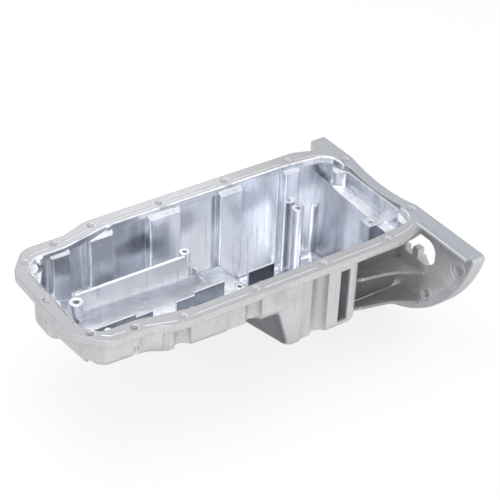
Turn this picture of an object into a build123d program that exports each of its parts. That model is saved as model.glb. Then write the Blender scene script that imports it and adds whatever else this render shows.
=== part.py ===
from build123d import *
import math
import os

# Engine oil pan: one aluminium casting with the lower half of the gearbox flange on its end.
# Millimetres. X runs along the engine to the gearbox face, Y across it, Z up.
# The origin is the middle of the rail's bolt rows, on the face that meets the block.

# Rail that bolts to the block
bolt_pitch = 88.0
bolt_row_y = 95.5
front_bolt_x = -235.6
front_corner_bolt = (-225.1, 71.0)
front_side_bolt = (-182.7, 85.4)
rear_bolt = (192.9, 62.7)
bolt_hole_radius = 4.3
rail_thickness = 9.0
rail_half_width = 105.3
rail_front_half_width = 93.3
rail_front_x = -244.3
rail_rear_x = 202.9
rail_width = 18.8
rail_front_width = 16.3
rail_rear_width = 12.9
rail_edge_chamfer = 1.5
rail_lug_radius = 4.0
rail_lugs = [(-206.5, 73.8), (-171.2, 80.6), (-115.2, 88.6), (-30.1, 89.6)]

# Outer walls, each measured to its outside
wall = 5.5
near_wall_y = -103.5
far_wall_y = 97.0
front_near_y = -89.5
front_far_y = 84.5
front_wall_x = -235.0
corner_ledge_z = -14.0
tray_corner_radius = 16.0
gallery_corner_radius = 14.0
sump_corner_radius = 14.0

# Pockets that clear the heads of the rail's bolts
head_clearance = 9.0
pocket_wall = 4.5
pocket_depth = 10.0
through_boss_radius = 6.5
through_boss_low_z = -20.0
rear_pocket_low_z = -46.0
near_pockets = [(-157.0, -131.0), (-82.0, -41.0), (14.6, 45.0)]
far_blocks = [(-144.0, -110.0), (-66.0, -22.0), (29.0, 63.0), (120.0, 145.0)]
far_block_y = 80.5
front_block = (-195.5, -169.5)
front_block_y = 70.5
block_lean = 1.5
block_top_z = -6.0
block_top_fall = 0.7
rear_block_top_z = -11.5

# Tray at the front, its floor falls rearwards and away from the near side
tray_point = (-177.0, 25.0, -56.0)
tray_fall_x = 0.044
tray_fall_y = 0.145
tray_rear_x = 30.0
tray_far_y = 29.0

# Gallery behind the divider, its floor falls rearwards into the sump
gallery_y = 19.5
gallery_front_z = -57.0
gallery_fall = 0.29

# Sump at the rear, its floor falls across the engine
sump_near_z = -93.0
sump_fall = 0.335
sump_front_x = -16.0
sump_front_z = -50.0
sump_front_lean = 0.285
sump_rear_x = 176.0
sump_rear_wall = 10.5
sump_ledge_z = -36.0
sump_ledge_rise = 0.25

# Recess in the sump's near rear corner, with two shelves
recess_x = 95.0
recess_y = -65.0
recess_top_y = -94.0
recess_knee_z = -45.0
shelf_thickness = 4.0
shelf_y = -104.0
upper_shelf = [(95.0, -35.0), (127.0, -40.0), (149.0, -45.5), (188.0, -61.5)]
upper_shelf_back_z = -62.0
lower_shelf = [(95.0, -75.0), (125.0, -80.7), (139.5, -83.8), (188.0, -102.5)]
lower_shelf_back_z = -103.0
slot_x = (65.0, 78.0)
slot_z = (-85.0, -15.0)
slot_depth = 20.0

# Divider, posts, fins and lip inside
divider_y = 25.0
divider_top_z = -27.0
divider_x = (-192.0, -54.0)
divider_thickness = 4.5
fin_y = -37.0
fin_thickness = 2.6
fin_step = 4.0
high_fins = [(-202.0, -154.0), (-81.0, -43.0), (-11.6, 23.0)]
low_fins = [(-154.0, -133.0), (-103.6, -81.0)]
lip_x = -42.0
lip_thickness = 3.0
post_thread_radius = 2.5
post_thread_depth = 16.0
front_post = (-196.0, 14.0, 8.2, -27.0)
divider_post = (-52.0, 28.5, 6.3, -24.0)
tray_post = (-17.0, -30.0, 5.0, -48.5)
tray_post_boss = (8.0, -68.0)
wall_post = (134.9, far_block_y - 9.5, 7.5, -54.6)
wall_post_web = 6.0
rear_block = (163.0, -30.0, 18.0, -34.0)
rear_block_hole = (171.0, -21.5)
front_post_hole_radius = 3.3

# Gearbox flange
crank_z = 38.6
flange_radius = 183.7
flange_front_x = 186.0
flange_far_y = 119.0
flange_corner = 5.0
flange_land = 14.0
flange_web = 6.0
flange_pocket_top_z = -14.0
flange_rib = 5.0
flange_rib_start = 125.0
flange_rib_angles = [-158.0, -132.0, -111.0, -90.0, -69.0, -49.0, -34.0]
middle_pocket_x = 195.0
lip_front_x = 180.0
lip_height = 3.5
lip_near_y = -172.0
rim_dip = 7.4
rim_dip_half = 60.0
flange_through_holes = [(-157.0, -26.0), (105.0, -84.0)]
flange_through_radius = 5.5
flange_through_boss = 14.0
flange_thread_holes = [(-112.0, -86.0), (104.0, -32.0)]
flange_thread_radius = 4.3
flange_thread_boss = 11.5

# Drain in the sump's low far wall
drain_x = 60.0
drain_z = -132.0
drain_thread_radius = 6.1
drain_boss_radius = 15.0
drain_boss_height = 6.0
drain_clearance = 0.15
washer_radius = 10.5
washer_thickness = 1.5
plug_flange_radius = 11.0
plug_flange_thickness = 2.5
plug_hex_across = 17.0
plug_hex_height = 7.0
plug_chamfer = 1.0


def outline(corners):
    """Closed flat outline, each corner given as x, y and its radius."""
    points = [(x, y) for x, y, radius in corners]
    radii = [radius for x, y, radius in corners]
    return make_face(FilletPolyline(*points, radius=radii, close=True))


def slab(face, low_z, high_z):
    """Upright prism of a flat outline between two heights."""
    return extrude(Plane.XY.offset(low_z) * face, high_z - low_z)


def across(face, front_x, rear_x):
    """Prism along X of an outline drawn with Y to the right and Z up."""
    return extrude(Plane.YZ.offset(front_x) * face, rear_x - front_x)


def box(x, y, z):
    """Box between two values on each axis."""
    size = (x[1] - x[0], y[1] - y[0], z[1] - z[0])
    return Pos(x[0], y[0], z[0]) * Box(*size, align=(Align.MIN, Align.MIN, Align.MIN))


def over_plane(point, normal, reach=900.0):
    """Everything on the side of a plane that its normal points to."""
    return extrude(Plane(origin=point, z_dir=normal) * Rectangle(reach, reach), reach)


def side_bolts():
    """Bolts of the two straight rows."""
    columns = [bolt_pitch * (step - 1.5) for step in range(4)]
    return [(x, side * bolt_row_y) for x in columns for side in (-1, 1)]


def front_bolts():
    """Bolts round the front end."""
    pairs = [front_corner_bolt, front_side_bolt]
    return [(front_bolt_x, 0.0)] + [(x, side * y) for x, y in pairs for side in (-1, 1)]


def rear_bolts():
    return [(rear_bolt[0], side * rear_bolt[1]) for side in (-1, 1)]


def mirrored(half):
    """Outline that is the same on both sides, from its far half listed front to rear."""
    near = [(x, -y, radius) for x, y, radius in half]
    return outline(near + half[::-1])


def rail_outline():
    half = [
        (rail_front_x, 60.0, 24.0),
        (-218.0, rail_front_half_width, 24.0),
        (-166.0, rail_front_half_width, 30.0),
        (-136.0, rail_half_width, 30.0),
        (148.0, rail_half_width, 40.0),
        (188.0, 90.5, 14.0),
        (rail_rear_x, 72.0, 0.0),
    ]
    return mirrored(half)


def opening_outline():
    inner_x = rail_front_x + rail_front_width
    side_y = rail_half_width - rail_width
    rear_x = rail_rear_x - rail_rear_width
    half = [
        (inner_x, 57.0, 14.0),
        (-213.0, 73.5, 14.0),
        (-176.0, 74.0, 30.0),
        (-118.0, side_y, 30.0),
        (120.0, side_y, 30.0),
        (174.0, 81.0, 10.0),
        (183.0, 71.0, 8.0),
        (185.5, 55.0, 4.0),
        (rear_x, 47.0, 4.0),
    ]
    return mirrored(half)


def tray_plan(inset):
    """Outline of the tray's walls, seen from above."""
    x = front_wall_x + inset
    near_y = near_wall_y + inset
    side = inset * 0.5
    return outline([
        (x, -69.5 + side, 0.0),
        (-219.0 + side, front_near_y + inset, 0.0),
        (-170.0 + side, front_near_y + inset, 18.0),
        (-150.0 + side, near_y, 20.0),
        (tray_rear_x, near_y, 0.0),
        (tray_rear_x, tray_far_y, 0.0),
        (x, tray_far_y, 0.0),
    ])


def tray_form(inset):
    """Outside of the tray, or its hollow when inset by the wall."""
    point = (tray_point[0], tray_point[1], tray_point[2] + inset)
    form = slab(tray_plan(inset), -120.0, 0.0) & over_plane(point, (tray_fall_x, tray_fall_y, 1.0))
    corners = [edge for edge in form.edges().filter_by(Axis.Z) if edge.center().X < -200.0]
    corners = [edge for edge in corners if edge.center().Y < 0.0]
    return round_floor(form, tray_corner_radius - inset, corners, tray_rear_x - 1.0, tray_far_y - 1.0)


def gallery_form(inset):
    """Outside of the gallery, or its hollow when inset by the wall."""
    x = front_wall_x + inset
    near_y = gallery_y + inset
    far_y = far_wall_y - inset
    side = inset * 0.5
    plan = outline([
        (x, -3.0 + inset, 0.0),
        (-196.0 - side, -3.0 + inset, 0.0),
        (-184.0 - side, near_y, 10.0),
        (60.0, near_y, 0.0),
        (60.0, far_y, 0.0),
        (-140.0 + side, far_y, 20.0),
        (-172.0 + side, front_far_y - inset, 18.0),
        (-203.0 + side, front_far_y - inset, 0.0),
        (x, 34.0 - side, 0.0),
    ])
    point = (front_wall_x, 0.0, gallery_front_z + inset)
    form = slab(plan, -200.0, 0.0) & over_plane(point, (gallery_fall, 0.0, 1.0))
    corners = [edge for edge in form.edges().filter_by(Axis.Z) if edge.center().X < -195.0]
    return round_floor(form, gallery_corner_radius - inset, corners)


def corner_form(inset):
    """Shallow ledge under the rail's far front corner, beside the gallery."""
    x = front_wall_x + inset
    far_y = front_far_y - inset
    side = inset * 0.5
    plan = outline([
        (x, 10.0, 0.0),
        (-190.0, 10.0, 0.0),
        (-190.0, far_y, 0.0),
        (-222.0 + side, far_y, 20.0 - inset),
        (x, 68.5 - side, 26.0 - inset),
    ])
    return slab(plan, corner_ledge_z - (0.0 if inset else wall), 0.0)


def sump_form(inset):
    """Outside of the sump, or its hollow when inset by the wall."""
    rear_x = sump_rear_x + (0.0 if inset else sump_rear_wall)
    near_y = near_wall_y + inset
    far_y = far_wall_y - inset
    step_x = recess_x - inset
    step_y = recess_y + inset
    plan = outline([
        (-60.0, near_y, 0.0),
        (step_x, near_y, 0.0),
        (step_x, step_y, 0.0),
        (rear_x, step_y, 0.0),
        (rear_x, far_y, 0.0),
        (-60.0, far_y, 0.0),
    ])
    floor = over_plane((0.0, near_wall_y, sump_near_z + inset), (0.0, sump_fall, 1.0))
    front = over_plane((sump_front_x + inset, 0.0, sump_front_z), (1.0, 0.0, sump_front_lean))
    form = slab(plan, -260.0, 0.0) & floor & front
    corners = [edge for edge in form.edges() if abs(edge.tangent_at(0.5).Z) > 0.9]
    return round_floor(form, sump_corner_radius - inset, corners)


def round_floor(form, radius, corners=[], rear_x=900.0, far_y=900.0):
    """Round the edges round a form's sloping floor, up to its open rear and far sides."""
    floor = [face for face in form.faces() if face.normal_at(face.center()).Z < -0.9][0]
    middles = [(edge, edge.center()) for edge in floor.edges()]
    edges = [edge for edge, middle in middles if middle.X < rear_x and middle.Y < far_y]
    return fillet(edges + list(corners), radius)


def rear_form(inset):
    """Upper rear part of the sump, over the recess and up to the rail's rear end."""
    near_top = recess_top_y + 1.28 * inset
    knee_z = recess_knee_z + 0.35 * inset
    far_y = far_wall_y - inset
    ledge_z = sump_ledge_z - (0.0 if inset else wall)
    side = outline([
        (near_top, 0.0, 0.0),
        (near_top, -rail_thickness, 0.0),
        (recess_y + inset, knee_z, 10.0),
        (recess_y + inset, ledge_z - 40.0, 0.0),
        (far_y, ledge_z - 40.0, 0.0),
        (far_y, 0.0, 0.0),
    ])
    rear_x = rail_rear_x - rail_rear_width - 2.0 + (wall if not inset else 0.0)
    body = across(side, recess_x - 20.0, rear_x)
    ledge = over_plane((sump_rear_x, 0.0, ledge_z), (-sump_ledge_rise, -0.05, 1.0))
    return (body & ledge) + (body & box((0.0, sump_rear_x), (-200.0, 200.0), (-200.0, 0.0)))


def shelf(edge, back_z):
    """Thin shelf from a bent front edge to a level back edge on the recess wall."""
    near = edge + [(x, z - shelf_thickness) for x, z in edge[::-1]]
    far = [(x, back_z) for x, z in edge] + [(x, back_z - shelf_thickness) for x, z in edge[::-1]]
    faces = []
    for y, points in ((shelf_y, near), (recess_y + 1.0, far)):
        plane = Plane(origin=(0.0, y, 0.0), x_dir=(1.0, 0.0, 0.0), z_dir=(0.0, -1.0, 0.0))
        faces.append(plane * make_face(Polyline(*points, close=True)))
    return loft(faces, ruled=True)


def flange_outline():
    """Outline of the gearbox face: part of a circle round the crankshaft."""
    depth = flange_radius
    middle_y = (flange_far_y - flange_radius) / 2
    strip = Pos(middle_y, -depth / 2) * Rectangle(flange_far_y + flange_radius, depth)
    face = (Pos(0.0, crank_z) * Circle(flange_radius)) & strip
    return face


def flange_body():
    body = across(flange_outline(), flange_front_x, rail_rear_x)
    corners = body.edges().filter_by(Axis.X)
    body = fillet(corners, flange_corner)
    lip = box((lip_front_x, flange_front_x + 1.0), (lip_near_y, -80.0), (-lip_height, 0.0))
    return body + lip


def flange_pockets():
    """Hollows in the gearbox face, between its land, its ribs and its bosses."""
    reach = 2 * flange_radius
    inside = offset(flange_outline(), -flange_land)
    inside = inside & (Pos(0.0, flange_pocket_top_z - flange_radius) * Rectangle(reach, reach))
    for angle in flange_rib_angles:
        rib = Pos((flange_rib_start + reach) / 2, 0.0) * Rectangle(reach - flange_rib_start, flange_rib)
        inside = inside - Pos(0.0, crank_z) * Rot(0, 0, angle) * rib
    for y, z in flange_through_holes:
        inside = inside - Pos(y, z) * Circle(flange_through_boss)
    for y, z in flange_thread_holes:
        inside = inside - Pos(y, z) * Circle(flange_thread_boss)
    thin = flange_front_x + flange_web
    pockets = across(inside, thin, rail_rear_x + 1.0)
    middle = box((thin - 1.0, middle_pocket_x), (recess_top_y - 6.0, far_wall_y + 6.0), (-60.0, 0.0))
    return pockets - middle


def flange_window():
    """Opening through the flange's thin near wing, with a small tab on its lower edge."""
    window = outline([
        (-69.0, -51.0, 2.0),
        (-108.0, -51.0, 5.0),
        (-119.0, -40.0, 9.0),
        (-119.0, -15.5, 14.0),
        (-90.0, -15.5, 4.0),
        (-69.5, -40.0, 4.0),
    ])
    tab = Pos(-86.5, -45.0) * Rectangle(9.0, 14.0)
    return across(window - tab, flange_front_x - 1.0, rail_rear_x)


def flange_holes():
    holes = Part()
    for y, z in flange_through_holes:
        holes += across(Pos(y, z) * Circle(flange_through_radius), lip_front_x - 1.0, rail_rear_x + 1.0)
    for y, z in flange_thread_holes:
        holes += across(Pos(y, z) * Circle(flange_thread_radius), flange_front_x - 1.0, rail_rear_x + 1.0)
    return holes


def rim_dip_cut():
    """Shallow arc across the rear rim, under the crankshaft's seal."""
    radius = (rim_dip_half ** 2 + rim_dip ** 2) / (2 * rim_dip)
    return across(Pos(0.0, radius - rim_dip) * Circle(radius), 170.0, rail_rear_x + 1.0)


def near_panels():
    """Flat recesses in the near wall, beside the bolts."""
    cuts = Part()
    for left, right in near_pockets:
        cuts += box((left, right), (near_wall_y - 10.0, near_wall_y + pocket_depth), (-200.0, -rail_thickness))
    cuts += box(slot_x, (near_wall_y - 10.0, near_wall_y + slot_depth), slot_z)
    return cuts


def near_backing():
    """Metal that keeps the near wall whole behind its recesses."""
    blocks = Part()
    for left, right in near_pockets:
        x = (left - wall, right + wall)
        blocks += box(x, (-140.0, near_wall_y + pocket_depth + wall), (-200.0, 0.0))
    x = (slot_x[0] - wall, slot_x[1] + wall)
    blocks += box(x, (-140.0, near_wall_y + slot_depth + wall), (-200.0, 0.0))
    return blocks


def far_block(span, face_y):
    """Block that stands into the hollow behind a bolt pocket of the far wall."""
    left, right = span
    plan = outline([
        (left - block_lean, 140.0, 0.0),
        (left + block_lean, face_y, 3.0),
        (right - block_lean, face_y, 3.0),
        (right + block_lean, 140.0, 0.0),
    ])
    return slab(plan, -260.0, 0.0)


def far_pocket(span, face_y):
    left, right = span
    plan = outline([
        (left + wall, 140.0, 0.0),
        (left + wall + block_lean, face_y + wall, 3.0),
        (right - wall - block_lean, face_y + wall, 3.0),
        (right - wall, 140.0, 0.0),
    ])
    return slab(plan, -260.0, -rail_thickness)


def far_backing():
    blocks = Part()
    for span in far_blocks:
        blocks += far_block(span, far_block_y)
    return blocks


def far_pockets():
    pockets = far_pocket(front_block, front_block_y)
    for span in far_blocks:
        pockets += far_pocket(span, far_block_y)
    return pockets


def bolt_columns(bolts, radius, high_z):
    columns = Part()
    for x, y in bolts:
        columns += slab(Pos(x, y) * Circle(radius), -260.0, high_z)
    return columns


def block_tops(blocks, edge_y):
    """Cut the blocks off below the rail, on a slope that falls inwards on each side."""
    far_cut = over_plane((0.0, edge_y, block_top_z), (0.0, -block_top_fall, 1.0))
    near_cut = over_plane((0.0, -edge_y, block_top_z), (0.0, block_top_fall, 1.0))
    return blocks - (far_cut & near_cut)


def opening():
    """Hole in the rail, with its chamfered edge and the lugs that stand into it."""
    face = opening_outline()
    for x, y in rail_lugs:
        for side in (-1, 1):
            face -= Pos(x, side * y) * Circle(rail_lug_radius)
    chamfered = Plane.XY.offset(-rail_edge_chamfer) * opening_outline()
    edge = extrude(chamfered, 2 * rail_edge_chamfer, taper=-45)
    return slab(face, -rail_thickness - 1.0, 1.0) + edge


def rear_bolt_pockets():
    """Pockets for the heads of the rear bolts, open to the gearbox."""
    pockets = Part()
    for x, y in rear_bolts():
        sides = (y - head_clearance, y + head_clearance)
        pockets += box((x, rail_rear_x + 1.0), sides, (rear_pocket_low_z, flange_pocket_top_z))
        pockets += slab(Pos(x, y) * Circle(head_clearance), rear_pocket_low_z, flange_pocket_top_z)
    return pockets


def post(place):
    x, y, radius, top_z = place
    return slab(Pos(x, y) * Circle(radius), -200.0, top_z)


def inner_walls():
    """Divider, posts, fins and lip, still reaching below the floors."""
    half = divider_thickness / 2
    walls = box(divider_x, (divider_y - half, divider_y + half), (-200.0, divider_top_z))
    for place in (front_post, divider_post, tray_post, wall_post):
        walls += post(place)
    x, y, radius, top_z = wall_post
    walls += box((x - wall_post_web / 2, x + wall_post_web / 2), (y, far_block_y + 1.0), (-200.0, top_z - 2.0))
    x, y, width, top_z = rear_block
    walls += box((x, rail_rear_x - 10.0), (y, y + width), (top_z - 26.0, top_z))
    fin_sides = (fin_y - fin_thickness / 2, fin_y + fin_thickness / 2)
    for spans, top_z in ((high_fins, divider_top_z), (low_fins, divider_top_z - fin_step)):
        for span in spans:
            walls += box(span, fin_sides, (-75.0, top_z))
    lip_sides = (lip_x - lip_thickness / 2, lip_x + lip_thickness / 2)
    walls += box(lip_sides, (14.0, divider_y), (-75.0, -46.0))
    walls += box(lip_sides, (-30.0, 15.0), (-75.0, -52.0))
    return walls


def inner_holes():
    holes = Part()
    x, y, radius, top_z = front_post
    holes += slab(Pos(x, y) * Circle(front_post_hole_radius), top_z - post_thread_depth, top_z + 1.0)
    for x, y, radius, top_z in (divider_post, tray_post, wall_post):
        holes += slab(Pos(x, y) * Circle(post_thread_radius), top_z - post_thread_depth, top_z + 1.0)
    x, y = rear_block_hole
    top_z = rear_block[3]
    holes += slab(Pos(x, y) * Circle(post_thread_radius), top_z - post_thread_depth, top_z + 1.0)
    return holes


def drain_cylinder(radius, low_y, high_y):
    """Cylinder on the drain's axis, between two distances across the engine."""
    plane = Plane(origin=(drain_x, low_y, drain_z), z_dir=(0.0, 1.0, 0.0))
    return extrude(plane * Circle(radius), high_y - low_y)


def drain_face_y():
    return far_wall_y + drain_boss_height


def oil_pan():
    """The casting."""
    outside = tray_form(0.0) + gallery_form(0.0) + corner_form(0.0) + sump_form(0.0) + rear_form(0.0)
    hollow = tray_form(wall) + gallery_form(wall) + corner_form(wall) + sump_form(wall) + rear_form(wall)
    bolts = side_bolts() + front_bolts() + rear_bolts()
    end, corner_near, corner_far, side_near, side_far = front_bolts()
    open_bolts = side_bolts() + [end, corner_far, side_far]
    through_bolts = [corner_near, side_near]
    outside -= near_panels() + far_pockets()
    outside -= bolt_columns(open_bolts, head_clearance, -rail_thickness)
    boss_end = over_plane((0.0, side_near[1] - through_boss_radius, through_boss_low_z), (0.0, 1.0, 1.0))
    outside += bolt_columns(through_bolts, through_boss_radius, -1.0) & boss_end
    outside += slab(rail_outline(), -rail_thickness, 0.0)
    boss_radius, boss_z = tray_post_boss
    outside += slab(Pos(*tray_post[:2]) * Circle(boss_radius), boss_z, tray_post[3] - 3.0)
    outside += drain_cylinder(drain_boss_radius, far_wall_y - wall, drain_face_y())
    under_rail = box((-300.0, 300.0), (-200.0, 200.0), (-260.0, -rail_thickness))
    hollow = (hollow & under_rail) + opening()
    column = head_clearance + pocket_wall
    side_blocks = near_backing() + far_backing() + bolt_columns(side_bolts(), column, 0.0)
    hollow -= block_tops(side_blocks, rail_half_width - rail_width)
    front_blocks = far_block(front_block, front_block_y) + bolt_columns([side_near], column, 0.0)
    hollow -= block_tops(front_blocks, front_block_y + 3.5)
    hollow -= bolt_columns([end, corner_near, corner_far], column, -rail_thickness + 1.0)
    rear_cut = over_plane((rear_bolt[0] - head_clearance, 0.0, rear_block_top_z), (-block_top_fall, 0.0, 1.0))
    hollow -= bolt_columns(rear_bolts(), column, 0.0) - rear_cut
    casting = outside - hollow + (inner_walls() & outside)
    casting += shelf(upper_shelf, upper_shelf_back_z) + shelf(lower_shelf, lower_shelf_back_z)
    casting += flange_body() - hollow
    casting -= flange_pockets() + flange_window() + flange_holes() + rear_bolt_pockets()
    casting -= inner_holes() + rim_dip_cut()
    casting -= drain_cylinder(drain_thread_radius + drain_clearance, 80.0, drain_face_y() + 1.0)
    casting -= bolt_columns(bolts, bolt_hole_radius, 1.0) & slab(rail_outline(), flange_pocket_top_z - 1.0, 1.0)
    casting -= bolt_columns(through_bolts, bolt_hole_radius, 1.0)
    return casting


def drain_plug():
    """Plug with a hexagon head and a flange, its thread drawn as a plain cylinder."""
    face_y = drain_face_y() + washer_thickness
    shank = drain_cylinder(drain_thread_radius, far_wall_y - wall, face_y)
    collar = drain_cylinder(plug_flange_radius, face_y, face_y + plug_flange_thickness)
    plane = Plane(origin=(drain_x, face_y + plug_flange_thickness, drain_z), z_dir=(0.0, 1.0, 0.0))
    head = extrude(plane * RegularPolygon(plug_hex_across / math.sqrt(3.0), 6), plug_hex_height)
    return chamfer(shank.edges().sort_by(Axis.Y)[0], plug_chamfer) + collar + head


def drain_plug_washer():
    face_y = drain_face_y()
    ring = drain_cylinder(washer_radius, face_y, face_y + washer_thickness)
    return ring - drain_cylinder(drain_thread_radius + 2 * drain_clearance, face_y - 1.0, face_y + 3.0)


os.makedirs("parts", exist_ok=True)
for name, solid in (
    ("oil_pan", oil_pan()),
    ("drain_plug", drain_plug()),
    ("drain_plug_washer", drain_plug_washer()),
):
    export_step(solid, "parts/" + name + ".step")
    print(name, len(solid.solids()), round(solid.volume / 1000.0, 1), "cm3", solid.bounding_box())
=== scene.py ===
import bmesh
import bpy
import math
from mathutils import Matrix, Vector


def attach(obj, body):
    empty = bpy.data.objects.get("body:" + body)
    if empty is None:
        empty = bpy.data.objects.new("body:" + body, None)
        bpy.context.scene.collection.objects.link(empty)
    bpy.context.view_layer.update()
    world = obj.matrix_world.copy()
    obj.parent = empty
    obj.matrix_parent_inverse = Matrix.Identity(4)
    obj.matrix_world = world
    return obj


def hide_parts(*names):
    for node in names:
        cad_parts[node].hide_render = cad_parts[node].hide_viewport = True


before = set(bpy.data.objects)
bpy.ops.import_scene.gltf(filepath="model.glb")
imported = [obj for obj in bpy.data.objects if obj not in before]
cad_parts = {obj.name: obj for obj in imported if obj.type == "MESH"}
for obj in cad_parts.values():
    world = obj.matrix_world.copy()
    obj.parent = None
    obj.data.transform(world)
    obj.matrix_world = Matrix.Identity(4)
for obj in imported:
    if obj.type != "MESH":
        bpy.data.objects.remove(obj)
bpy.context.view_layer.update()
scene = bpy.context.scene
print("stage: frame loaded")


# small helpers for node trees

class Wire:  # a socket that can stand in a sum
    def __init__(self, maker, socket):
        self.maker = maker
        self.socket = socket

    def sums(self, operation, first, second=None):
        inputs = {0: first} if second is None else {0: first, 1: second}
        return self.maker.value("ShaderNodeMath", {"operation": operation}, inputs)

    def __add__(self, other):
        return self.sums("ADD", self, other)

    def __radd__(self, other):
        return self.sums("ADD", other, self)

    def __sub__(self, other):
        return self.sums("SUBTRACT", self, other)

    def __rsub__(self, other):
        return self.sums("SUBTRACT", other, self)

    def __mul__(self, other):
        return self.sums("MULTIPLY", self, other)

    def __rmul__(self, other):
        return self.sums("MULTIPLY", other, self)

    def __truediv__(self, other):
        return self.sums("DIVIDE", self, other)

    def __pow__(self, other):
        return self.sums("POWER", self, other)

    def __abs__(self):
        return self.sums("ABSOLUTE", self)

    def least(self, other):
        return self.sums("MINIMUM", self, other)

    def most(self, other):
        return self.sums("MAXIMUM", self, other)

    def part(self):  # what is left above the whole number
        return self.sums("FRACT", self)

    def rise(self, low, high):  # 0 below low, 1 above high, smooth between
        return self.smooth(low, high, 0.0, 1.0)

    def fall(self, low, high):  # 1 below low, 0 above high
        return self.smooth(low, high, 1.0, 0.0)

    def smooth(self, low, high, before, after):
        inputs = {0: self, 1: low, 2: high, 3: before, 4: after}
        return self.maker.value("ShaderNodeMapRange", {"interpolation_type": "SMOOTHSTEP"}, inputs)


class Maker:  # puts nodes in one tree
    def __init__(self, tree):
        self.tree = tree

    def add(self, kind, settings=None, inputs=None):
        node = self.tree.nodes.new(kind)
        for name, setting in (settings or {}).items():
            if name == "stops":
                self.fillRamp(node.color_ramp, setting)
            else:
                setattr(node, name, setting)
        for name, given in (inputs or {}).items():
            if isinstance(given, Wire):
                self.tree.links.new(given.socket, node.inputs[name])
            else:
                node.inputs[name].default_value = given
        return node

    def fillRamp(self, ramp, stops):
        while len(ramp.elements) < len(stops):
            ramp.elements.new(1.0)
        for element, (place, colour) in zip(ramp.elements, stops):
            element.position = place
            element.color = (*colour, 1.0)

    def value(self, kind, settings=None, inputs=None, output=0):
        return Wire(self, self.add(kind, settings, inputs).outputs[output])

    def axes(self, vector):
        parts = self.add("ShaderNodeSeparateXYZ", {}, {0: vector})
        return {axis: Wire(self, output) for axis, output in zip("xyz", parts.outputs)}

    def noise(self, place, scale, detail=3.0, roughness=0.5, distortion=0.0):
        inputs = {"Vector": place, "Scale": scale, "Detail": detail, "Roughness": roughness}
        inputs["Distortion"] = distortion
        return self.value("ShaderNodeTexNoise", {}, inputs, "Fac")

    def stretched(self, place, scale, turn):
        inputs = {"Vector": place, "Scale": scale, "Rotation": (0.0, 0.0, turn)}
        return self.value("ShaderNodeMapping", {}, inputs)

    def blend(self, factor, first, second):  # colours
        node = self.add("ShaderNodeMix", {"data_type": "RGBA"})
        given = {"Factor_Float": factor, "A_Color": first, "B_Color": second}
        for socket in node.inputs:
            if socket.identifier in given:
                self.join(given[socket.identifier], socket)
        results = [socket for socket in node.outputs if socket.identifier == "Result_Color"]
        return Wire(self, results[0])

    def join(self, given, socket):
        if isinstance(given, Wire):
            self.tree.links.new(given.socket, socket)
        elif isinstance(given, tuple):
            socket.default_value = (*given, 1.0)
        else:
            socket.default_value = given

    def bump(self, height, normal=None):
        inputs = {"Height": height, "Strength": 1.0, "Distance": 1.0}
        if normal is not None:
            inputs["Normal"] = normal
        return self.value("ShaderNodeBump", {}, inputs)

    def seenPlainly(self):  # rays that the camera, a reflection or clear material sends
        path = self.add("ShaderNodeLightPath")
        camera, glossy, clear = [
            Wire(self, path.outputs[name])
            for name in ("Is Camera Ray", "Is Glossy Ray", "Is Transmission Ray")
        ]
        return camera.most(glossy).most(clear)

    def mixShaders(self, factor, first, second):
        inputs = {0: factor, 1: Wire(self, first.outputs[0]), 2: Wire(self, second.outputs[0])}
        return self.add("ShaderNodeMixShader", {}, inputs)


def newMaterial(name):
    material = bpy.data.materials.new(name)
    material.use_nodes = True
    material.node_tree.nodes.clear()
    return material, Maker(material.node_tree)


def finishMetal(make, colour, roughness, metallic, normal):
    inputs = {"Metallic": metallic, "Base Color": colour, "Roughness": roughness, "Normal": normal}
    finishMaterial(make, make.add("ShaderNodeBsdfPrincipled", {}, inputs))


def finishMaterial(make, shader):
    output = make.add("ShaderNodeOutputMaterial")
    make.tree.links.new(shader.outputs[0], output.inputs["Surface"])


# the aluminium casting: colours, among them painted highlights, painted reflections and painted shade, then
# how rough, metallic and uneven its skin is

castLooks = {
    "outside": (0.65, 0.65, 0.655),
    "inside": (0.79, 0.815, 0.87),
    "machined": (0.47, 0.47, 0.49),
    # stains, and also painted shade on faces that are darker in the light
    "stainAndShade": (0.24, 0.26, 0.30),
    # light inside tone, for random blots and for painted highlights
    "bright": (0.93, 0.94, 0.98),
    "sand": (0.60, 0.585, 0.53),
    "shade": (0.13, 0.135, 0.15),
    "bore": (0.80, 0.80, 0.81),
    "strip": (0.44, 0.46, 0.51),
    # painted shade for the fins' near faces, standing for the shaded wall they reflect
    "finShade": (0.17, 0.19, 0.23),
    "outsideRoughness": 0.52,
    "insideRoughness": 0.22,
    "machinedRoughness": 0.28,
    "cloudRoughness": 0.12,
    "grainRoughness": 0.06,
    "outsideMetal": 0.55,
    "insideMetal": 0.92,
    "boreDulling": 0.9,
    "dipShare": 0.8,
    "edgeRadius": 0.0022,
    "edgeSamples": 6,
    "skinBump": 0.00014,
    "lumpHeight": 2.4,
    "grainLostInside": 0.93,
    "lumpsLostInside": 0.9,
    "softBump": 0.00045,
    "cutBump": 0.000008,
}
castPatterns = {  # scale, one or one for each axis, then detail, roughness, distortion and turn
    "grain": (900.0, 4.0, 0.6, 0.0, 0.0),
    "specks": (420.0, 3.0, 0.6, 0.0, 0.0),
    "lumps": (240.0, 3.0, 0.5, 0.0, 0.0),
    "clouds": (22.0, 4.0, 0.55, 0.0, 0.0),
    "flow": ((55.0, 55.0, 12.0), 2.0, 0.45, 0.6, 0.0),
    "blots": ((26.0, 26.0, 15.0), 3.0, 0.5, 0.8, 0.0),
    "streaks": ((210.0, 210.0, 16.0), 3.0, 0.6, 0.0, 0.0),
    "cutMarks": ((60.0, 1500.0, 1500.0), 2.0, 0.6, 0.0, 0.12),
}
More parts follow.
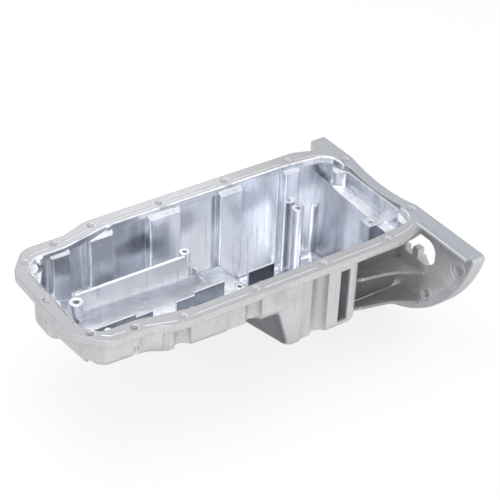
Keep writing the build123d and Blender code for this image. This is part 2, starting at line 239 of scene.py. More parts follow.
castTones = [  # pattern, which way it is taken, low, high, strength, side, colour
    # inside, the blots are partly real stain and partly painted reflection; the patches are painted
    # highlights and painted shade
    ("blots", "rise", 0.50, 0.75, 0.34, "inside", "stainAndShade"),
    ("blots", "fall", 0.28, 0.50, 0.50, "inside", "bright"),
    ("paintedHighlights", "kept", 0.0, 1.0, 1.0, "inside", "bright"),
    ("paintedShadePatches", "kept", 0.0, 1.0, 1.0, "inside", "stainAndShade"),
    ("streaks", "rise", 0.50, 0.80, 0.28, "inside", "stainAndShade"),
    ("clouds", "rise", 0.50, 0.76, 0.45, "outside", "sand"),
    ("clouds", "fall", 0.28, 0.48, 0.26, "outside", "stainAndShade"),
    ("streaks", "rise", 0.52, 0.78, 0.22, "outside", "stainAndShade"),
    ("specks", "rise", 0.54, 0.76, 0.45, "outside", "bore"),
    ("specks", "fall", 0.24, 0.44, 0.40, "outside", "stainAndShade"),
]
castPatches = [  # tone, centre and reach in metres, strength: broad soft painted highlights (bright) and painted shade (dark) on the cast skin
    ("dark", (-0.076, 0.0915, -0.044), (0.034, 0.020, 0.015), 0.80),
    ("dark", (-0.100, -0.0050, -0.050), (0.130, 0.030, 0.014), 0.35),
    ("dark", (0.075, 0.0900, -0.035), (0.040, 0.020, 0.020), 0.40),
    ("dark", (-0.066, -0.0044, -0.051), (0.044, 0.026, 0.012), 0.60),
    ("dark", (-0.125, 0.0805, -0.072), (0.018, 0.014, 0.016), 0.60),
    ("dark", (0.160, 0.0850, -0.030), (0.030, 0.020, 0.022), 0.45),
    ("dark", (-0.012, 0.0915, -0.034), (0.018, 0.010, 0.018), 0.45),
    ("bright", (0.176, 0.0500, -0.085), (0.014, 0.060, 0.080), 1.00),
    ("bright", (0.010, 0.0915, -0.105), (0.050, 0.020, 0.028), 0.90),
    ("bright", (-0.130, 0.0805, -0.022), (0.030, 0.014, 0.022), 1.00),
    ("bright", (-0.087, 0.0228, -0.043), (0.070, 0.006, 0.020), 1.00),
    ("bright", (-0.114, 0.0900, -0.040), (0.030, 0.020, 0.024), 0.85),
    ("bright", (-0.125, 0.0805, -0.040), (0.016, 0.014, 0.060), 0.80),
    ("bright", (-0.044, 0.0805, -0.020), (0.024, 0.014, 0.022), 0.45),
    ("bright", (-0.010, 0.0915, -0.075), (0.040, 0.020, 0.030), 0.60),
    ("bright", (-0.060, 0.0560, -0.105), (0.110, 0.036, 0.030), 0.95),
    ("bright", (-0.120, 0.0230, -0.045), (0.090, 0.004, 0.022), 0.70),
    ("bright", (0.150, 0.0600, -0.060), (0.026, 0.040, 0.055), 0.60),
    ("bright", (0.100, 0.0900, -0.100), (0.040, 0.020, 0.035), 0.60),
    ("bright", (-0.212, 0.0600, -0.030), (0.026, 0.040, 0.045), 0.60),
]
patchEdge = (0.35, 1.25)  # where a patch starts to fade and ends, as shares of its reach
# from and to hold the soft edges between which a form lies, in metres for each axis,
# and turnFrom and turnTo the same for the direction that its faces look in
castForms = {
    "railTop": {"from": {"z": (-0.0004, -0.0002)}, "turnFrom": {"z": (0.9, 0.95)}},
    "dip": {"from": {"x": (0.1880, 0.1885), "z": (-0.0080, -0.0078)}, "turnFrom": {"z": (0.9, 0.95)}},
    "gearboxFace": {"from": {"x": (0.2024, 0.2026)}, "turnFrom": {"x": (0.9, 0.95)}},
    "outerFront": {"to": {"x": (-0.2285, -0.2280)}, "turnTo": {"x": (-0.5, -0.3)}},
    "outerNear": {"to": {"y": (-0.0860, -0.0850)}, "turnTo": {"y": (-0.5, -0.3)}},
    "outerFar": {"turnFrom": {"y": (0.3, 0.5)}},
    "outerRear": {"from": {"x": (0.1835, 0.1840)}, "turnFrom": {"x": (0.3, 0.5)}},
    "fins": {"to": {"x": (0.024, 0.026)}, "turnTo": {"y": (-0.9, -0.5)}, "strength": 0.92},
    "recess": {
        "from": {"x": (0.0945, 0.100)},
        "to": {"x": (0.1845, 0.1855), "y": (-0.0640, -0.0600), "z": (-0.012, -0.004)},
        "turnTo": {"z": (0.55, 0.8)},
        "strength": 0.52,
    },
    "underSump": {
        "from": {"x": (-0.045, -0.030)},
        "to": {"x": (0.004, 0.016), "z": (-0.046, -0.040)},
        "turnTo": {"x": (-0.75, -0.55)},
        "strength": 0.93,
    },
    "topStrip": {
        "from": {"x": (0.1795, 0.1800), "z": (-0.0045, -0.0040)},
        "to": {"y": (-0.088, -0.084)},
        "turnFrom": {"z": (0.6, 0.9)},
    },
    "flangeRim": {
        "from": {"x": (0.1850, 0.1855)},
        "to": {"y": (-0.04, -0.03)},
        "turnTo": {"x": (-0.9, -0.5)},
        "strength": 0.55,
    },
    # rearLip, flangeFace, frontEnd, undersides and sumpNose mark faces that get painted shade
    "rearLip": {
        "from": {"x": (0.1855, 0.1870), "y": (-0.078, -0.070), "z": (-0.0100, -0.0085)},
        "strength": 0.75,
    },
    "flangeFace": {
        "from": {"x": (0.1850, 0.1855)},
        "to": {"x": (0.1865, 0.1870), "y": (-0.095, -0.085)},
        "turnTo": {"x": (-0.9, -0.5)},
    },
    "frontEnd": {"to": {"x": (-0.215, -0.200)}, "turnTo": {"x": (-0.95, -0.25)}, "strength": 0.24},
    "undersides": {"turnTo": {"z": (-0.75, -0.05)}, "strength": 0.55},
    "sumpNose": {
        "from": {"x": (-0.020, 0.0)},
        "to": {"x": (0.020, 0.032), "z": (-0.110, -0.060)},
        "strength": 0.45,
    },
    "slot": {
        "from": {"y": (-0.1010, -0.0990)},
        "to": {"z": (-0.012, -0.009)},
        "turnTo": {"x": (0.5, 0.9)},
    },
}
# painted shade on the flange's front face, stronger higher up and patchy
flangeTones = {"height": (-0.055, -0.005), "heightShare": 0.35, "clouds": (0.35, 0.65), "cloudShare": 0.30}
slotTones = {"left": 0.95, "lostToRight": 0.45, "soft": 0.0006, "aboveFloor": (0.001, 0.002)}
railBores = [(-0.2356, 0.0), (-0.2251, 0.071), (-0.1827, 0.0854), (0.1929, 0.0627)]
castShape = {  # metres, from the casting's own sizes, each taken half a wall inside its outer face
    "trayFloor": (0.044, 0.145, 1.0, -0.05741),
    "trayRear": 0.030,
    "galleryFloor": (0.29, 0.0, 1.0, -0.12240),
    "galleryNear": 0.02225,
    "galleryRear": 0.060,
    "sumpFloor": (0.0, 0.335, 1.0, -0.12492),
    "sumpFront": (1.0, 0.0, 0.285, -0.02750),
    "sumpRear": 0.181,
    "recess": (0.09225, -0.06225),
    "ledge": (-0.25, -0.05, 1.0, -0.08275),
    "rearEnd": 0.190,
    "rearLean": (-0.0900, -0.009, 0.82),
    "nearWall": -0.10075,
    "nearStep": (-0.150, 0.020, 0.014),
    "nearCorner": (0.781, 0.625, 0.0, -0.2242),
    "farStep": (-0.140, 0.032, 0.0125),
    "farCorner": (0.8446, -0.535, 0.0, -0.2139),
    "ledgeCorner": (0.776, -0.6306, 0.0, -0.2228),
    "ledgeFloor": -0.0168,
    "ledgeRear": -0.190,
    "ledgeNear": 0.010,
    "farWall": 0.09425,
    "frontWall": -0.23225,
    "boltPitch": 0.088,
    "boltRow": 0.0955,
    "boltClear": 0.0098,
    "boltFarSide": (0.050, -0.0040),
    "boreEdge": (0.0045, 0.0047),
    "boreTop": (-0.0006, -0.0003),
    "round": 0.0125,
    "nearPanels": [(-0.157, -0.131), (-0.082, -0.041), (0.0146, 0.045)],
    "panelFloor": -0.0930,
    "slot": (0.065, 0.078, -0.0830),
    "farPanels": [(-0.1385, -0.1155), (-0.0605, -0.0275), (0.0345, 0.0575), (0.1255, 0.1395)],
    "farPanelFloor": 0.0858,
    "farPanelTop": -0.0105,
    "farPanelFall": 0.7,
    "outerFarFrom": (0.0740, 0.0750),
    "outerFarFront": (-0.135, -0.134, 0.0140),
    "finMiddle": -0.037,
    "finHalf": (0.0030, 0.0034),
    "crankZ": 0.0386,
    "rimEdge": (0.1733, 0.1740),
    "sharp": 0.0002,
}


def leaning(x, y, z, plane):  # above a sloping floor
    return x * plane[0] + y * plane[1] + z * plane[2] - plane[3]


def rounded(radius, *depths):  # depth behind several faces whose edges are rounded
    total = 0.0
    for depth in depths:
        short = (radius - depth).most(0.0)
        total = short * short + total
    return radius - total ** 0.5


def stepped(x, step):  # how far a wall has come in along its slanting stretch
    start, length, depth = step
    return ((start - x) / length).least(1.0).most(0.0) * depth


def between(x, left, right):  # below 0 inside the two ends
    return (left - x).most(x - right)


def fromBoltRow(x, y):
    pitch = castShape["boltPitch"]
    along = abs((x / pitch + 2.0).part() - 0.5) * pitch
    across = abs(y) - castShape["boltRow"]
    return (along * along + across * across) ** 0.5


def insideOfCasting(x, y, z):
    shape = castShape
    near = y - shape["nearWall"] - stepped(x, shape["nearStep"])
    far = shape["farWall"] - y - stepped(x, shape["farStep"])
    front = x - shape["frontWall"]
    corner = leaning(x, y, z, shape["nearCorner"])
    tray = rounded(shape["round"], leaning(x, y, z, shape["trayFloor"]), near, front.least(corner))
    tray = tray.least(shape["trayRear"] - x).least(far)
    corner = leaning(x, y, z, shape["farCorner"])
    gallery = rounded(shape["round"], leaning(x, y, z, shape["galleryFloor"]), far, front.least(corner))
    gallery = gallery.least(y - shape["galleryNear"]).least(shape["galleryRear"] - x)
    ledge = (z - shape["ledgeFloor"]).least(far).least(front).least(leaning(x, y, z, shape["ledgeCorner"]))
    ledge = ledge.least(shape["ledgeRear"] - x).least(y - shape["ledgeNear"])
    recessX, recessY = shape["recess"]
    sumpNear = (y - shape["nearWall"]).least((y - recessY).most(recessX - x))
    sumpEnds = leaning(x, y, z, shape["sumpFront"]).least(shape["sumpRear"] - x)
    sumpFloor = leaning(x, y, z, shape["sumpFloor"])
    sump = rounded(shape["round"], sumpFloor, sumpNear.least(shape["farWall"] - y), sumpEnds)
    rear = leaning(x, y, z, shape["ledge"]).least(x - shape["galleryRear"]).least(shape["rearEnd"] - x)
    leanY, leanZ, lean = shape["rearLean"]
    rear = rear.least(shape["farWall"] - y).least((y - leanY) + (z - leanZ).least(0.0) * lean)
    form = tray.most(gallery).most(ledge).most(sump).most(rear)
    for left, right in shape["nearPanels"]:  # pockets of the outer skin that reach in past the wall
        form = form.least((y - shape["panelFloor"]).most(between(x, left, right)))
    left, right, floor = shape["slot"]
    form = form.least((y - floor).most(between(x, left, right)))
    above = z - shape["farPanelTop"] + (shape["farWall"] - y) * shape["farPanelFall"]
    for left, right in shape["farPanels"]:
        form = form.least((shape["farPanelFloor"] - y).most(between(x, left, right)).most(above))
    bolt = fromBoltRow(x, y) - shape["boltClear"]
    farSideY, belowZ = shape["boltFarSide"]
    bolt = bolt.most((y - farSideY).least(belowZ - z))
    return form.least(bolt).rise(-shape["sharp"], shape["sharp"])


def softPatches(x, y, z, tone):
    total = 0.0
    for kind, centre, reach, strength in castPatches:
        if kind == tone:
            across = [(axis - middle) / size for axis, middle, size in zip((x, y, z), centre, reach)]
            away = (across[0] * across[0] + across[1] * across[1] + across[2] * across[2]) ** 0.5
            total = (away.fall(*patchEdge) * strength).most(total)
    return total


def boltBores(x, y, z):
    away = fromBoltRow(x, y)
    for boltX, boltY in railBores:
        dx = x - boltX
        dy = abs(y) - boltY
        away = away.least((dx * dx + dy * dy) ** 0.5)
    return away.fall(*castShape["boreEdge"]) * z.fall(*castShape["boreTop"])


def formMask(where, turned, form):  # the form's strength inside its soft edges, 0 outside
    mask = form.get("strength", 1.0)
    for key, axes in (("from", where), ("turnFrom", turned)):
        for axis, band in form.get(key, {}).items():
            mask = axes[axis].rise(*band) * mask
    for key, axes in (("to", where), ("turnTo", turned)):
        for axis, band in form.get(key, {}).items():
            mask = axes[axis].fall(*band) * mask
    return mask


def slotShade(x, y, mask):  # the slot in the near wall, darkest at its left
    left, right, floor = castShape["slot"]
    soft = slotTones["soft"]
    low, high = slotTones["aboveFloor"]
    mask = mask * x.rise(left - soft, left + soft) * x.fall(right - soft, right + soft)
    mask = mask * y.fall(floor + low, floor + high)
    return mask * (slotTones["left"] - slotTones["lostToRight"] * x.rise(left, right))


def skinPatterns(make, place):
    patterns = {}
    for name, (scale, detail, roughness, distortion, turn) in castPatterns.items():
        if isinstance(scale, tuple):
            spread = make.stretched(place, scale, turn)
            patterns[name] = make.noise(spread, 1.0, detail, roughness, distortion)
        else:
            patterns[name] = make.noise(place, scale, detail, roughness, distortion)
    return patterns


def toned(amount, way, low, high):
    if way == "rise":
        return amount.rise(low, high)
    if way == "fall":
        return amount.fall(low, high)
    return amount


def castAluminium():
    material, make = newMaterial("castAluminium")
    looks = castLooks
    place = make.value("ShaderNodeTexCoord", {}, {}, "Object")
    where = make.axes(place)
    turned = make.axes(make.value("ShaderNodeNewGeometry", {}, {}, "True Normal"))
    x, y, z = where["x"], where["y"], where["z"]
    masks = {name: formMask(where, turned, form) for name, form in castForms.items()}
    patterns = skinPatterns(make, place)
    # painted highlights and painted shade, as placed soft patches
    patterns["paintedHighlights"] = softPatches(x, y, z, "bright")
    patterns["paintedShadePatches"] = softPatches(x, y, z, "dark")
    clouds = patterns["clouds"]

    # the rail, the dip in its rear rim and the gearbox face are machined, the rest is cast skin
    machined = masks["railTop"].most(masks["dip"]).most(masks["gearboxFace"])
    low, high, comeIn = castShape["outerFarFront"]
    outerFar = (y + x.fall(low, high) * comeIn).rise(*castShape["outerFarFrom"]) * masks["outerFar"]
    inside = insideOfCasting(x, y, z) * (1.0 - machined) * (1.0 - outerFar)
    for name in ("outerFront", "outerNear", "outerRear"):
        inside = inside * (1.0 - masks[name])
    plain = 1.0 - inside.most(machined)
    sides = {"inside": inside, "outside": plain}

    colour = make.blend(inside, looks["outside"], looks["inside"])
    for name, way, low, high, strength, side, tone in castTones:
        amount = toned(patterns[name], way, low, high) * strength * sides[side]
        colour = make.blend(amount, colour, looks[tone])
    colour = make.blend(machined, colour, looks["machined"])
    above = z - castShape["crankZ"]
    rim = ((y * y + above * above) ** 0.5).rise(*castShape["rimEdge"]) * masks["flangeRim"]
    strip = masks["topStrip"].most(rim).most(masks["dip"] * looks["dipShare"])
    colour = make.blend(strip, colour, looks["strip"])

    # faces that are darker in the photograph's light
    tones = z.rise(*flangeTones["height"]) * flangeTones["heightShare"]
    tones = tones + clouds.rise(*flangeTones["clouds"]) * flangeTones["cloudShare"]
    tones = (masks["flangeFace"] * tones).most(masks["rearLip"] * (1.0 - machined))
    for name in ("frontEnd", "undersides", "sumpNose"):
        tones = tones.most(masks[name] * plain)
    colour = make.blend(tones, colour, looks["stainAndShade"])
    # painted shade: the fins' near faces made dark
    finShadeMask = abs(y - castShape["finMiddle"]).fall(*castShape["finHalf"]) * masks["fins"] * inside
    colour = make.blend(finShadeMask, colour, looks["finShade"])
    colour = make.blend((masks["recess"] * plain).most(masks["underSump"] * plain), colour, looks["shade"])
    bores = boltBores(x, y, z)
    colour = make.blend(bores, colour, looks["bore"])
    colour = make.blend(slotShade(x, y, masks["slot"]), colour, looks["shade"])

    roughness = looks["outsideRoughness"] + (looks["insideRoughness"] - looks["outsideRoughness"]) * inside
    roughness = roughness + (looks["machinedRoughness"] - roughness) * machined
    roughness = roughness + (clouds - 0.5) * looks["cloudRoughness"]
    roughness = roughness + (patterns["grain"] - 0.5) * looks["grainRoughness"]
    shiny = inside.most(machined)
    metallic = looks["outsideMetal"] + (looks["insideMetal"] - looks["outsideMetal"]) * shiny
    metallic = metallic * (1.0 - bores * looks["boreDulling"])

    soft = make.value("ShaderNodeBevel", {"samples": looks["edgeSamples"]}, {"Radius": looks["edgeRadius"]})
    uneven = patterns["grain"] * looks["skinBump"] * (1.0 - looks["grainLostInside"] * inside)
    lumps = patterns["lumps"] * (looks["skinBump"] * looks["lumpHeight"])
    uneven = uneven + lumps * (1.0 - looks["lumpsLostInside"] * inside)
    uneven = uneven * (1.0 - machined) + patterns["flow"] * looks["softBump"] * inside
    uneven = uneven + patterns["cutMarks"] * looks["cutBump"] * machined
    finishMetal(make, colour, roughness, metallic, make.bump(uneven, soft))
    return material


# the drain plug and its washer

plugLooks = {"colour": (0.62, 0.61, 0.58), "dull": (0.40, 0.39, 0.37), "roughness": 0.32}
washerLooks = {"colour": (0.78, 0.78, 0.79), "dull": (0.60, 0.60, 0.61), "roughness": 0.36}
turnedSkin = {
    "speckScale": 1200.0,
    "speckDetail": (3.0, 0.6),
    "cloudScale": 160.0,
    "dullFrom": (0.45, 0.7),
    "dullShare": 0.6,
    "cloudRoughness": 0.2,
    "speckRoughness": 0.12,
    "edgeRadius": 0.0004,
    "edgeSamples": 4,
    "bump": 0.00003,
}


def turnedMetal(name, looks):
    material, make = newMaterial(name)
    skin = turnedSkin
    place = make.value("ShaderNodeTexCoord", {}, {}, "Object")
    specks = make.noise(place, skin["speckScale"], *skin["speckDetail"])
    clouds = make.noise(place, skin["cloudScale"])
    colour = make.blend(clouds.rise(*skin["dullFrom"]) * skin["dullShare"], looks["colour"], looks["dull"])
    roughness = looks["roughness"] + (clouds - 0.5) * skin["cloudRoughness"]
    roughness = roughness + (specks - 0.5) * skin["speckRoughness"]
    soft = make.value("ShaderNodeBevel", {"samples": skin["edgeSamples"]}, {"Radius": skin["edgeRadius"]})
    finishMetal(make, colour, roughness, 1.0, make.bump(specks * skin["bump"], soft))
    return material


def dress(node, material):
    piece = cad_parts[node]
    piece.data.materials.clear()
    piece.data.materials.append(material)


castSkin = castAluminium()
dress("oil_pan", castSkin)
dress("drain_plug", turnedMetal("zincSteel", plugLooks))
dress("drain_plug_washer", turnedMetal("softAluminium", washerLooks))
print("stage: materials")


# the casting: a merged copy of the CAD mesh, its near front bolt boss cut flush under the tray

panLooks = {
    "boss": (-0.2251, -0.0710),
    "bossRadius": 0.0065,
    "bossBelow": -0.020,
    "endPlane": -0.1119,  # y + z on the boss's slanting end
    "onPlane": 1e-4,
    "onCurve": 0.0002,
    "weld": 1e-6,
    "sliver": 1e-5,
    "smoothAngle": 28.0,
}


def nearest(points, x, y):
    return min(points, key=lambda point: (point.x - x) ** 2 + (point.y - y) ** 2)


def trimBoss(vertices):  # moves the boss's end up to the curve where the boss leaves the tray
    middleX, middleY = panLooks["boss"]
    outer = panLooks["bossRadius"]
    around = [(v, math.hypot(v.co.x - middleX, v.co.y - middleY)) for v in vertices]
    reach = outer + panLooks["onCurve"]
    around = [(v, away) for v, away in around if away < reach and v.co.z < panLooks["bossBelow"]]
    plane, onPlane = panLooks["endPlane"], panLooks["onPlane"]
    end = [(v, away) for v, away in around if abs(v.co.z + v.co.y - plane) < onPlane]
    ends = set(v for v, away in end)
    rim = outer - panLooks["onCurve"]
    curve = [v.co.copy() for v, away in around if away > rim and v not in ends]
    if not curve:
        return
    for v, away in end:
        angle = math.atan2(v.co.y - middleY, v.co.x - middleX)
        dx, dy = outer * math.cos(angle), outer * math.sin(angle)
        here = nearest(curve, middleX + dx, middleY + dy).z
        there = nearest(curve, middleX - dx, middleY - dy).z
        v.co.z = (here + there) / 2 + (here - there) / 2 * min(away / outer, 1.0)
    print("stage: boss end trimmed at", len(end), "points, curve of", len(curve))


def trimmedPan():
    work = bmesh.new()
    work.from_mesh(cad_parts["oil_pan"].data)
    bmesh.ops.remove_doubles(work, verts=work.verts, dist=panLooks["weld"])
    trimBoss(work.verts)
    bmesh.ops.dissolve_degenerate(work, edges=work.edges, dist=panLooks["sliver"])
    mesh = bpy.data.meshes.new("pan_casting")
    work.to_mesh(mesh)
    work.free()
    if "custom_normal" in mesh.attributes:
        mesh.attributes.remove(mesh.attributes["custom_normal"])
    mesh.shade_smooth()
    mesh.set_sharp_from_angle(angle=math.radians(panLooks["smoothAngle"]))
    mesh.materials.clear()
    mesh.materials.append(castSkin)
    piece = bpy.data.objects.new("pan_casting", mesh)
    scene.collection.objects.link(piece)
    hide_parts("oil_pan")
    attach(piece, "root")


trimmedPan()
print("stage: casting")


# what follows a path on the casting: groove, bolt seats, flange lines and threads; the groove, the bolt
# seats and the flange step are drawn as painted highlight and painted shade lines

lineSkin = {
    "speckScale": 700.0,
    "speckDetail": (3.0, 0.6),
    "dullFrom": (0.4, 0.75),
    "dullShare": 0.5,
    "dullTone": 0.72,
    "roughness": 0.15,
    "metal": 0.8,
    "bump": 0.00003,
}


def lineMetal(name, colour, roughness):
    material, make = newMaterial(name)
    skin = lineSkin
    place = make.value("ShaderNodeTexCoord", {}, {}, "Object")
    specks = make.noise(place, skin["speckScale"], *skin["speckDetail"])
    dull = tuple(channel * skin["dullTone"] for channel in colour)
    tone = make.blend(specks.rise(*skin["dullFrom"]) * skin["dullShare"], colour, dull)
    rough = roughness + (specks - 0.5) * skin["roughness"]
    finishMetal(make, tone, rough, skin["metal"], make.bump(specks * skin["bump"]))
    return material


def pathTree():  # a rounded bead of given width and height along the object's curves
    tree = bpy.data.node_groups.new("beadAlongPath", "GeometryNodeTree")
    sockets = tree.interface
    sockets.new_socket("Geometry", in_out="INPUT", socket_type="NodeSocketGeometry")
    for name in ("Width", "Height", "Step"):
        sockets.new_socket(name, in_out="INPUT", socket_type="NodeSocketFloat")
    sockets.new_socket("Finish", in_out="INPUT", socket_type="NodeSocketMaterial")
    sockets.new_socket("Geometry", in_out="OUTPUT", socket_type="NodeSocketGeometry")
    make = Maker(tree)
    entry = make.add("NodeGroupInput")
    names = ("Geometry", "Width", "Height", "Step", "Finish")
    given = {name: Wire(make, entry.outputs[name]) for name in names}
    inputs = {"Curve": given["Geometry"], "Length": given["Step"]}
    path = make.value("GeometryNodeResampleCurve", {"mode": "LENGTH"}, inputs)
    circle = make.value("GeometryNodeCurvePrimitiveCircle", {}, {"Resolution": 8, "Radius": 0.5})
    size = make.value("ShaderNodeCombineXYZ", {}, {0: given["Width"], 1: given["Height"], 2: 1.0})
    profile = make.value("GeometryNodeTransform", {}, {"Geometry": circle, "Scale": size})
    inputs = {"Curve": path, "Profile Curve": profile, "Fill Caps": True}
    sweep = make.value("GeometryNodeCurveToMesh", {}, inputs)
    real = make.value("GeometryNodeRealizeInstances", {}, {"Geometry": sweep})
    finish = make.value("GeometryNodeSetMaterial", {}, {"Geometry": real, "Material": given["Finish"]})
    make.add("NodeGroupOutput", {}, {"Geometry": finish})
    return tree


beadTree = pathTree()


def bead(name, paths, closed, size, material):  # size is width, height and the step between sections
    curve = bpy.data.curves.new(name + "Path", "CURVE")
    curve.dimensions = "3D"
    curve.twist_mode = "Z_UP"
    for path in paths:
        spline = curve.splines.new("POLY")
        spline.points.add(len(path) - 1)
        for point, place in zip(spline.points, path):
            point.co = (*place, 1.0)
        spline.use_cyclic_u = closed
    holder = bpy.data.objects.new(name + "Path", curve)
    scene.collection.objects.link(holder)
    modifier = holder.modifiers.new("bead", "NODES")
    modifier.node_group = beadTree
    width, height, step = size
    given = {"Width": width, "Height": height, "Step": step, "Finish": material}
    for item in beadTree.interface.items_tree:
        if item.in_out == "INPUT" and item.name in given:
            modifier[item.identifier] = given[item.name]
    bpy.context.view_layer.update()
    ready = holder.evaluated_get(bpy.context.evaluated_depsgraph_get())
    mesh = bpy.data.meshes.new_from_object(ready)
    holder.modifiers.remove(modifier)
    bpy.data.objects.remove(holder)
    mesh.name = name
    mesh.shade_smooth()
    piece = bpy.data.objects.new(name, mesh)
    scene.collection.objects.link(piece)
    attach(piece, "root")


def arc(radius, first, last, steps):  # points in the arc's own plane
    angles = [first + (last - first) * step / steps for step in range(steps + 1)]
    return [(radius * math.cos(angle), radius * math.sin(angle)) for angle in angles]


grooveLooks = {"size": (0.0013, 0.0005, 0.004), "lift": -0.00005, "darkShift": 0.0013}
grooveRuns = [  # between the bolts, x and y
    [(-0.2310, -0.0500), (-0.2310, -0.0080)],
    [(-0.2310, 0.0080), (-0.2310, 0.0500)],
    [(-0.2170, 0.0780), (-0.2095, 0.0815), (-0.1930, 0.0818)],
    [(-0.1725, 0.0836), (-0.1500, 0.0885), (-0.1410, 0.0912)],
    [(-0.1215, 0.0923), (-0.0545, 0.0923)],
    [(-0.0335, 0.0923), (0.0335, 0.0923)],
    [(0.0545, 0.0923), (0.1215, 0.0923)],
    [(0.1415, 0.0915), (0.1600, 0.0885), (0.1760, 0.0830)],
    [(-0.2170, -0.0790), (-0.2095, -0.0850), (-0.1930, -0.0855)],
    [(-0.1725, -0.0885), (-0.1500, -0.0955), (-0.1410, -0.0985)],
    [(-0.1215, -0.0987), (-0.0545, -0.0987)],
    [(-0.0335, -0.0987), (0.0335, -0.0987)],
    [(0.0545, -0.0987), (0.1215, -0.0987)],
    [(0.1415, -0.0975), (0.1600, -0.0945), (0.1760, -0.0880)],
]


# the groove is drawn as a painted shade line beside a painted highlight line
def railGroove():
    lift, shift = grooveLooks["lift"], grooveLooks["darkShift"]
    paths = [[(x, y + shift, lift) for x, y in run] for run in grooveRuns]
    bead("rail_groove_shade", paths, False, grooveLooks["size"], shadeLine)
    paths = [[(x, y, lift) for x, y in run] for run in grooveRuns]
    bead("rail_groove_highlight", paths, False, grooveLooks["size"], highlightLine)


seatLooks = {
    "radius": 0.0047,
    "size": (0.0010, 0.0004, 0.0012),
    "lift": -0.00005,
    # arcs of painted highlight (light) and painted shade (shade)
    "light": (-1.3, 1.0),  # radians
    "shade": (1.7, 4.4),
    "steps": 20,
}


# each bolt seat gets an arc of painted highlight on one side and an arc of painted shade on the other
def boltSeats():
    pitch, row = castShape["boltPitch"], castShape["boltRow"]
    holes = [(pitch * (step - 1.5), row) for step in range(4)] + railBores
    places = [(x, side * y) for x, y in holes for side in (-1, 1)]
    lift = seatLooks["lift"]
    points = arc(seatLooks["radius"], *seatLooks["light"], seatLooks["steps"])
    paths = [[(x + dx, y + dy, lift) for dx, dy in points] for x, y in places]
    bead("bolt_seat_highlight", paths, False, seatLooks["size"], highlightLine)
    points = arc(seatLooks["radius"], *seatLooks["shade"], seatLooks["steps"])
    paths = [[(x + dx, y + dy, lift) for dx, dy in points] for x, y in places]
    bead("bolt_seat_shade", paths, False, seatLooks["size"], shadeLine)


flangeLooks = {
    "frontX": 0.1859,
    "rings": [(-0.1570, -0.0260, 0.0122), (-0.1120, -0.0860, 0.0098)],  # y, z and radius
    "ringSteps": 48,
    "ringSize": (0.0009, 0.0009, 0.0015),
    "rimRadius": 0.1828,
    "rimEnds": (-167.0, -122.0),
    "rimSteps": 40,
    "rimSize": (0.0009, 0.0009, 0.003),
    # the step's painted shadow line and painted highlight line
    "stepShadow": [(0.1852, -0.0900, 0.0), (0.1852, -0.1700, 0.0)],
    "shadowSize": (0.0020, 0.0005, 0.004),
    "stepEdge": [(0.1806, -0.0880, -0.0004), (0.1806, -0.1710, -0.0004)],
    "edgeSize": (0.0016, 0.0012, 0.004),
}


def flangeLines():
    looks = flangeLooks
    frontX, crankZ = looks["frontX"], castShape["crankZ"]
    rings = []
    for y, z, radius in looks["rings"]:
        points = arc(radius, 0.0, 2 * math.pi, looks["ringSteps"])[:-1]
        rings.append([(frontX, y + dy, z + dz) for dy, dz in points])
    bead("flange_boss_rings", rings, True, looks["ringSize"], castLine)
    first, last = [math.radians(end) for end in looks["rimEnds"]]
    points = arc(looks["rimRadius"], first, last, looks["rimSteps"])
    rim = [(frontX, dy, crankZ + dz) for dy, dz in points]
    bead("flange_rim_line", [rim], False, looks["rimSize"], castLine)
    # a painted shadow line and a painted highlight line along the flange step
    bead("flange_step_shadow", [looks["stepShadow"]], False, looks["shadowSize"], shadeLine)
    bead("flange_step_highlight", [looks["stepEdge"]], False, looks["edgeSize"], highlightLine)


threadLooks = {
    "pitch": 0.0010,
    "depth": 0.013,
    "start": 0.0008,
    "size": (0.00055, 0.00055, 0.0009),
    "steps": 16,
}
threadHoles = [  # centre, top and radius of each tapped hole
    (-0.1960, 0.0140, -0.0270, 0.0033),
    (-0.0520, 0.0285, -0.0240, 0.0025),
    (-0.0170, -0.0300, -0.0485, 0.0025),
    (0.1349, 0.0710, -0.0546, 0.0025),
    (0.1710, -0.0215, -0.0340, 0.0025),
]


def postThreads():
    steps, pitch = threadLooks["steps"], threadLooks["pitch"]
    turns = int(threadLooks["depth"] / pitch)
    helices = []
    for x, y, top, radius in threadHoles:
        start = top - threadLooks["start"]
        helix = []
        for step, (dx, dy) in enumerate(arc(radius, 0.0, 2 * math.pi * turns, turns * steps)):
            helix.append((x + dx, y + dy, start - pitch * step / steps))
        helices.append(helix)
    bead("post_threads", helices, False, threadLooks["size"], threadSteel)


# line finishes: a painted highlight, a painted shade, cast ring lines and cut thread
highlightLine = lineMetal("highlightLine", (0.86, 0.86, 0.88), 0.30)
shadeLine = lineMetal("shadeLine", (0.40, 0.41, 0.44), 0.50)
castLine = lineMetal("castLine", (0.70, 0.71, 0.73), 0.45)
threadSteel = lineMetal("cutThread", (0.55, 0.54, 0.52), 0.35)
railGroove()
boltSeats()
flangeLines()
postThreads()
print("stage: groove, bolt seats, flange lines and threads")


# floor, light and camera

stageLooks = {
    "floorHeight": -0.1549,
    "floorHalf": 6.0,
    "floorColour": (0.95, 0.95, 0.95, 1.0),
    "floorWhite": 0.8,
    "white": (1.0, 1.0, 1.0, 1.0),
    "skyTop": (1.0, 1.0, 1.0),
    "skyLow": (0.62, 0.64, 0.68),
    "skyStrength": 0.85,
}


def paleFloor():
    mesh = bpy.data.meshes.new("floor")
    height, half = stageLooks["floorHeight"], stageLooks["floorHalf"]
    corners = [(-half, -half, height), (half, -half, height), (half, half, height), (-half, half, height)]
    mesh.from_pydata(corners, [], [(0, 1, 2, 3)])
    floor = bpy.data.objects.new("floor", mesh)
    scene.collection.objects.link(floor)
    material, make = newMaterial("paleFloor")
    plain = make.add("ShaderNodeBsdfDiffuse", {}, {"Color": stageLooks["floorColour"]})
    white = make.add("ShaderNodeEmission", {}, {"Color": stageLooks["white"], "Strength": 1.0})
    finishMaterial(make, make.mixShaders(make.seenPlainly() * stageLooks["floorWhite"], plain, white))
    mesh.materials.append(material)


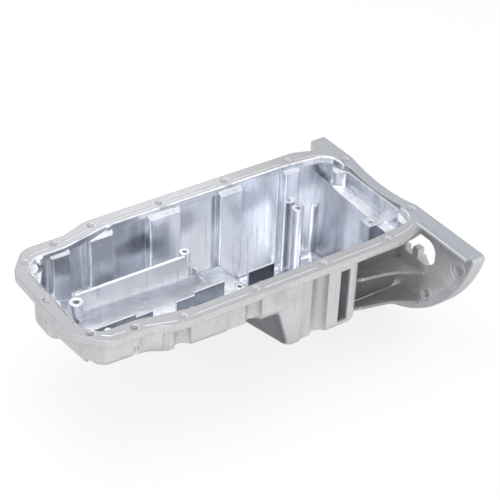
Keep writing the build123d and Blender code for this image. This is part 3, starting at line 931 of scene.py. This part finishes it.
def studioSky():
    world = bpy.data.worlds.new("studio")
    scene.world = world
    world.use_nodes = True
    make = Maker(world.node_tree)
    make.tree.nodes.clear()
    up = make.axes(make.value("ShaderNodeTexCoord", {}, {}, "Generated"))["z"]
    stops = [(0.0, stageLooks["skyLow"]), (1.0, stageLooks["skyTop"])]
    sky = make.value("ShaderNodeValToRGB", {"stops": stops}, {0: up * 0.5 + 0.5})
    soft = make.add("ShaderNodeBackground", {}, {"Color": sky, "Strength": stageLooks["skyStrength"]})
    white = make.add("ShaderNodeBackground", {}, {"Color": stageLooks["white"], "Strength": 1.0})
    mix = make.mixShaders(make.seenPlainly(), soft, white)  # the eye and the metal see plain white
    output = make.add("ShaderNodeOutputWorld")
    make.tree.links.new(mix.outputs[0], output.inputs["Surface"])


lamps = [  # name, place, aim, width, height, watts
    ("softboxAbove", (-0.25, 0.15, 1.5), (0.0, 0.0, 0.0), 1.2, 0.8, 8.0),
    ("softboxFront", (-1.0, -1.5, 0.9), (0.0, 0.0, -0.05), 0.9, 0.7, 6.0),
    ("softboxRight", (0.90, -1.05, 1.15), (0.05, 0.0, 0.0), 0.35, 0.35, 1.0),
    ("softboxBehind", (0.43, 1.02, 0.62), (0.0, 0.10, 0.0), 0.45, 0.30, 0.4),
]


def addLamps():
    for name, place, aim, width, height, watts in lamps:
        light = bpy.data.lights.new(name, "AREA")
        light.shape = "RECTANGLE"
        light.size = width
        light.size_y = height
        light.energy = watts
        lamp = bpy.data.objects.new(name, light)
        scene.collection.objects.link(lamp)
        lamp.location = place
        lamp.rotation_euler = (Vector(aim) - Vector(place)).to_track_quat("-Z", "Y").to_euler()
        lamp.visible_camera = False


cameraLooks = {
    "place": (-0.75519, -1.07929, 0.90721),
    "right": (0.82664, -0.56174, 0.03356),
    "up": (0.301892, 0.492989, 0.815980),
    "forward": (0.474911, 0.664386, -0.577105),
    "lens": 104.63,
    "sensor": 36.0,
    "farthest": 50.0,
}


def addCamera():
    data = bpy.data.cameras.new("camera")
    data.lens = cameraLooks["lens"]
    data.sensor_width = cameraLooks["sensor"]
    data.clip_end = cameraLooks["farthest"]
    camera = bpy.data.objects.new("camera", data)
    scene.collection.objects.link(camera)
    back = -Vector(cameraLooks["forward"])
    axes = Matrix((cameraLooks["right"], cameraLooks["up"], back)).transposed().to_4x4()
    camera.matrix_world = Matrix.Translation(cameraLooks["place"]) @ axes
    scene.camera = camera


paleFloor()
studioSky()
addLamps()
addCamera()
scene.view_settings.view_transform = "Standard"
print("stage: floor, light and camera")
